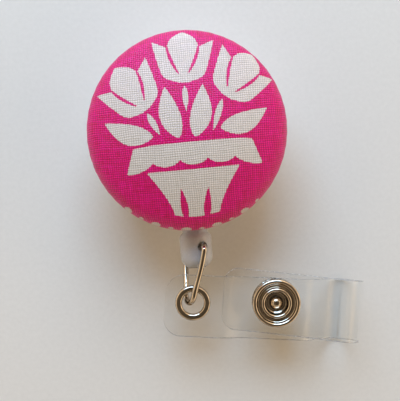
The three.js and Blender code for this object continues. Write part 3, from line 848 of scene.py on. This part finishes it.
def clip_profile(thick):
    """The clip from the side: base, fold, and tongue with its pinched and flared end."""
    base_low, base_high = box_mm("clip_base")
    fold_radius = (base_high.z - thick) / 2
    fold_y = base_high.y - base_high.z / 2
    end = -box_mm("clip_tongue")[0].y
    middle, pinch = thick / 2, 1.5
    top, raised = base_high.z - middle, middle + pinch
    return even_steps(
        [
            [(-base_low.y, top), (-fold_y, top)],
            arc(-fold_y, base_high.z / 2, fold_radius, 90, 270, 24),
            [(-fold_y, middle), (end - 6.4, middle)],
            bezier((end - 6.4, middle), (end - 5, middle), (end - 4.6, raised), (end - 3.2, raised)),
            bezier((end - 3.2, raised), (end - 1.8, raised), (end - 1.6, middle + 0.2), (end, middle + 0.1)),
        ],
        0.35,
    )


def make_clip():
    """The belt clip in one piece, drilled for its rivet."""
    base_low, base_high = box_mm("clip_base")
    base_under, corner, rivet_hole = 3.0, 3.5, 1.55
    thick = base_high.z - base_under
    line, at = clip_profile(thick)
    stations = end_steps(at, corner, 10)
    line = resampled(line, at, stations)
    half = rounded_ends(base_high.x - base_low.x, at[-1], corner, corner)

    def place(x, z, across):
        return (across, -x, z)

    points, sides, _ = strip_points(line, stations, half, thick, place, edge=0.22)
    faces = sweep_faces(len(line), sides, caps=True)
    clip = make_piece("belt_clip", points, faces, [nickel], None)
    weld(clip, 0.001)
    drill(clip, (0, 0, 0), rivet_hole, base_under - 0.6, base_under + 1.4)
    smooth_by_angle(clip, 40)
    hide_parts("clip_base", "clip_tongue")
    fold = Vector(joints["clip_flex"]["pos_m"])
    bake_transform(clip)


# ---- Snap and eyelet ----


def make_turned(name, outline, centre, material, body, replaced, segments=96, axis=(0, 0, 1)):
    """A piece turned from an outline, with its sharp edges kept."""
    points, faces = turned(outline, segments, centre, axis)
    piece = weld(make_piece(name, points, faces, [material], body, replaced))
    smooth_by_angle(piece, 50)
    return piece


def make_eyelet():
    """The eyelet's rolled flange and barrel, curled over under its washer."""
    low, high = box_mm("eyelet")
    washer_low, washer_high = box_mm("eyelet_washer")
    middle = middle_mm("eyelet")
    flange, hole, barrel = high.x - middle.x, 2.1, 2.4
    seat = washer_high.z + STRAP_THICK + 2 * SEAT
    width, tall = (flange - hole) / 2, high.z + 0.28 - seat
    turns = np.radians(np.linspace(180, 0, 24))
    flatter = [(math.copysign(abs(math.cos(a)) ** 0.7, math.cos(a)), math.sin(a) ** 0.8) for a in turns]
    roll = [(hole + width * (1 + x), seat + tall * y) for x, y in flatter]
    outline = [
        (hole, low.z + 0.12),
        *roll,
        (flange - 0.3, seat),
        (barrel, seat),
        (barrel, washer_low.z - 0.03),
        *arc(barrel + 0.38, washer_low.z - 0.18, 0.15, 90, -90, 6),
        (hole + 0.15, low.z),
    ]
    make_turned("eyelet_ring", outline, (middle.x, middle.y, 0), nickel, "strap", ["eyelet"])


def make_snap_ring(spot):
    """The rolled ring on top of the upper layer."""
    low, high = box_mm("socket_ring")
    radius, bore, roll = (high.x - low.x) / 2, 3.12, 0.46
    ring = [
        (bore, low.z + 0.12),
        (bore + 0.18, low.z + 0.2),
        *arc(radius - 2 * roll - 0.36, low.z + 0.62, 0.42, -80, -20, 5),
        *arc(radius - roll, high.z - roll, roll, 165, -90, 20),
        (bore, low.z),
    ]
    make_turned("snap_outer_ring", ring, spot, nickel, "flap", ["socket_ring"])


def make_snap_socket(spot):
    """The socket under the upper layer, with its collar coming up through the strap."""
    low, high = box_mm("snap_socket")
    flange, collar, hole = (high.x - low.x) / 2, 2.98, 1.75
    rim, lip = 0.22, 0.36
    under = UPPER_LAYER - STRAP_THICK / 2 - SEAT
    socket = [
        (hole, low.z + 0.1),
        (hole + 0.1, low.z),
        (hole + 0.9, low.z),
        (hole + 1.1, under - 0.5),
        *arc(flange - rim, under - 0.24, rim, -90, 90, 10),
        (collar, under),
        (collar, high.z - 0.4),
        *arc(collar - lip, high.z - lip, lip, 0, 180, 16),
        (collar - 0.86, under + 0.1),
        (hole + 0.25, low.z + 0.4),
        (hole, low.z + 0.3),
    ]
    make_turned("snap_socket_cup", socket, spot, nickel, "flap", ["snap_socket"])


def make_snap_stud(spot):
    """The stud on the lower layer: plate, neck and ball."""
    low, high = box_mm("snap_stud")
    flange, ball, neck, rim = (high.x - low.x) / 2, 1.38, 1.05, 0.25
    plate = LOWER_LAYER + STRAP_THICK / 2 + SEAT
    ball_starts = -math.degrees(math.acos((neck + 0.1) / ball))
    stud = [
        (0, low.z),
        (neck, low.z),
        (neck, plate),
        *arc(flange - rim, plate + rim, rim, -90, 90, 10),
        (neck + 0.35, plate + 2 * rim),
        *arc(neck + 0.25, plate + 0.62, 0.12, -90, -180, 4),
        *arc(0, high.z - ball, ball, ball_starts, 90, 22),
    ]
    stud[-1] = (0, high.z)
    make_turned("snap_ball_stud", stud, spot, nickel, "strap", ["snap_stud"])


def make_snap():
    centre = middle_mm("socket_ring")
    spot = (centre.x, centre.y, 0)
    make_snap_ring(spot)
    make_snap_socket(spot)
    make_snap_stud(spot)


# ---- Bail, bell and cord ----


def make_tube(name, line, radius, sides, material, body, replaced):
    """A round bar along a line of points, with flat ends."""
    line = np.asarray(line, float)
    tangent = unit_tangents(line)
    side = np.cross(tangent[0], (0.3, 0.5, 0.8))
    points = []
    turns = 2 * np.pi * np.arange(sides) / sides
    for spot, ahead in zip(line, tangent):
        side = side - ahead * side.dot(ahead)
        side /= np.linalg.norm(side)
        other = np.cross(ahead, side)
        points.append(spot + radius * (np.outer(np.cos(turns), side) + np.outer(np.sin(turns), other)))
    faces = sweep_faces(len(line), sides, caps=True)
    piece = make_piece(name, np.concatenate(points), faces, [material], body, replaced)
    weld(piece, 0.0005)
    smooth_by_angle(piece, 60)
    return piece


def make_bail():
    """The wire stirrup: two turned-in pins, two legs and the U-bend in the eyelet."""
    pivot, axis = joint_mm("bail_pivot"), joint_axis("bail_pivot")
    swing, wire = -12.3, 0.575
    legs, pin, corner, bend, length = 3.9, 1.7, 0.7, 1.9, 11.0
    turn_at = length - bend
    along = Vector((0, -1, 0))
    along.rotate(Quaternion(axis, math.radians(swing)))
    one = [
        [(0, pin), (0, legs - corner)],
        arc(corner, legs - corner, corner, 180, 90, 8),
        bezier((corner, legs), (0.38 * length, legs), (0.66 * length, bend + 0.35), (turn_at, bend), 30),
        arc(turn_at, 0, bend, 90, 0, 12),
    ]
    half, _ = even_steps(one, 0.16)
    path = np.concatenate([half, half[-2::-1] * (1, -1)])
    line = [tuple(pivot + along * x + axis * y) for x, y in path]
    make_tube("bail_wire", line, wire, 20, nickel, "bail", ["wire_bail"])


def make_bell():
    """The moulded end piece, drilled for the bail."""
    low, high = box_mm("bell_shell")
    start, end = -high.y, -low.y
    inset = 0.05  # keeps it a little inside the CAD surface
    radius = (high.x - low.x) / 2 - inset
    centre = (0, 0, (low.z + high.z) / 2)
    cord_hole, neck, mouth, cavity, bail_hole = 0.55, 2.3, 1.42, 1.9, 1.05
    lip, shoulder, crown, mouth_lip = 0.3, 1.6, 2.2, 0.2
    cavity_floor, shoulder_at, cavity_wall = 20.2, 20.9, 21.1
    outline = [
        *arc(cord_hole + lip, start + lip, lip, 180, 270, 4),
        *arc(neck - lip, start + lip, lip, -90, 0, 5),
        (neck, start + 2 * lip),
        *arc(radius - shoulder, shoulder_at, shoulder, -55, 0, 8),
        *arc(radius - crown, end - crown, crown, 0, 72, 14),
        *arc(mouth + mouth_lip, end - mouth_lip, mouth_lip, 60, 180, 5),
        (cavity, end - 1.5),
        (cavity, cavity_wall),
        (cord_hole + 0.05, cavity_floor),
    ]
    shell = make_turned(
        "bell_cap", outline, centre, bell_plastic, "bell", ["bell_shell"], 72, (0, -1, 0)
    )
    drill(shell, tuple(joint_mm("bail_pivot")), bail_hole, -4, 4, joint_axis("bail_pivot"))
    smooth_by_angle(shell, 50)


def between(a, b, share):
    """The point that is a share of the way from a to b."""
    return np.asarray(a) * (1 - share) + np.asarray(b) * share


def make_cord():
    """The cord's way from the coil round the nose's mouth to its knot in the bell."""
    low = box_mm("cord_run")[0]
    knot = middle_mm("cord_knot")
    bend_y, bend_reach, level, radius = -15.6, 1.2, knot.z, 0.375
    coil_end = (6.66, -11.86, level + 0.95)
    turn = np.array((0, bend_y, level))
    first = between(coil_end, turn, 0.12)
    near = between(coil_end, turn, 0.84)
    far = np.array((0, bend_y - bend_reach, level))
    t = np.linspace(0, 1, 12)[:, None]
    bend = near * (1 - t) ** 2 + 2 * turn * t * (1 - t) + far * t**2
    lead = np.linspace(first, near, 12)[:-1]
    out = np.linspace(far, (0, low.y, level), 24)[1:]
    line = np.concatenate([lead, bend, out])
    cord = make_tube("pull_cord", line, radius, 14, braid(), None, [])
    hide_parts("cord_run")
    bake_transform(cord)


# ---- CAD nodes that stay ----


def dress_cad_nodes():
    """Gives each CAD node that stays its material and smooth shading."""
    looks = {
        nickel: ("centre_rivet", "eyelet_washer", "stud_ring"),
        steel: ("button_shell", "button_back", "spool_washer"),
        spring_steel: ("spiral_spring",),
        case_plastic: ("front_case", "back_case", "spool"),
        foam(): ("adhesive_pad",),
        braid(): ("cord_coil", "cord_knot"),
    }
    replaced = (
        *("fabric_cover", "clip_base", "clip_tongue", "cord_run", "bell_shell", "wire_bail"),
        *("strap_lower", "strap_upper", "eyelet", "snap_stud", "snap_socket", "socket_ring"),
    )
    dressed = {name for names in looks.values() for name in names}
    assert dressed | set(replaced) == set(nodes), "a CAD node has no material"
    for material, names in looks.items():
        for name in names:
            nodes[name].data.materials.clear()
            nodes[name].data.materials.append(material)
            smooth_by_angle(nodes[name])


nickel = metal("nickel_plate", (0.57, 0.51, 0.44, 1), roughness=0.05)
steel = metal("plain_steel", (0.6, 0.6, 0.6, 1), roughness=0.3)
spring_steel = metal("spring_steel", (0.36, 0.37, 0.39, 1), roughness=0.28)
case_plastic = plastic("case_plastic", (0.86, 0.855, 0.83, 1), roughness=0.36, glow=0.1)
bell_plastic = plastic(
    "bell_plastic", (0.7, 0.73, 0.79, 1), roughness=0.2, glow=0.3, clear=0.3, grain=0.01
)

make_camera()
make_light()
make_floor()
make_cloth()
make_strap()
make_clip()
make_eyelet()
make_snap()
make_bail()
make_bell()
make_cord()
dress_cad_nodes()
bpy.context.scene.view_settings.view_transform = "Standard"
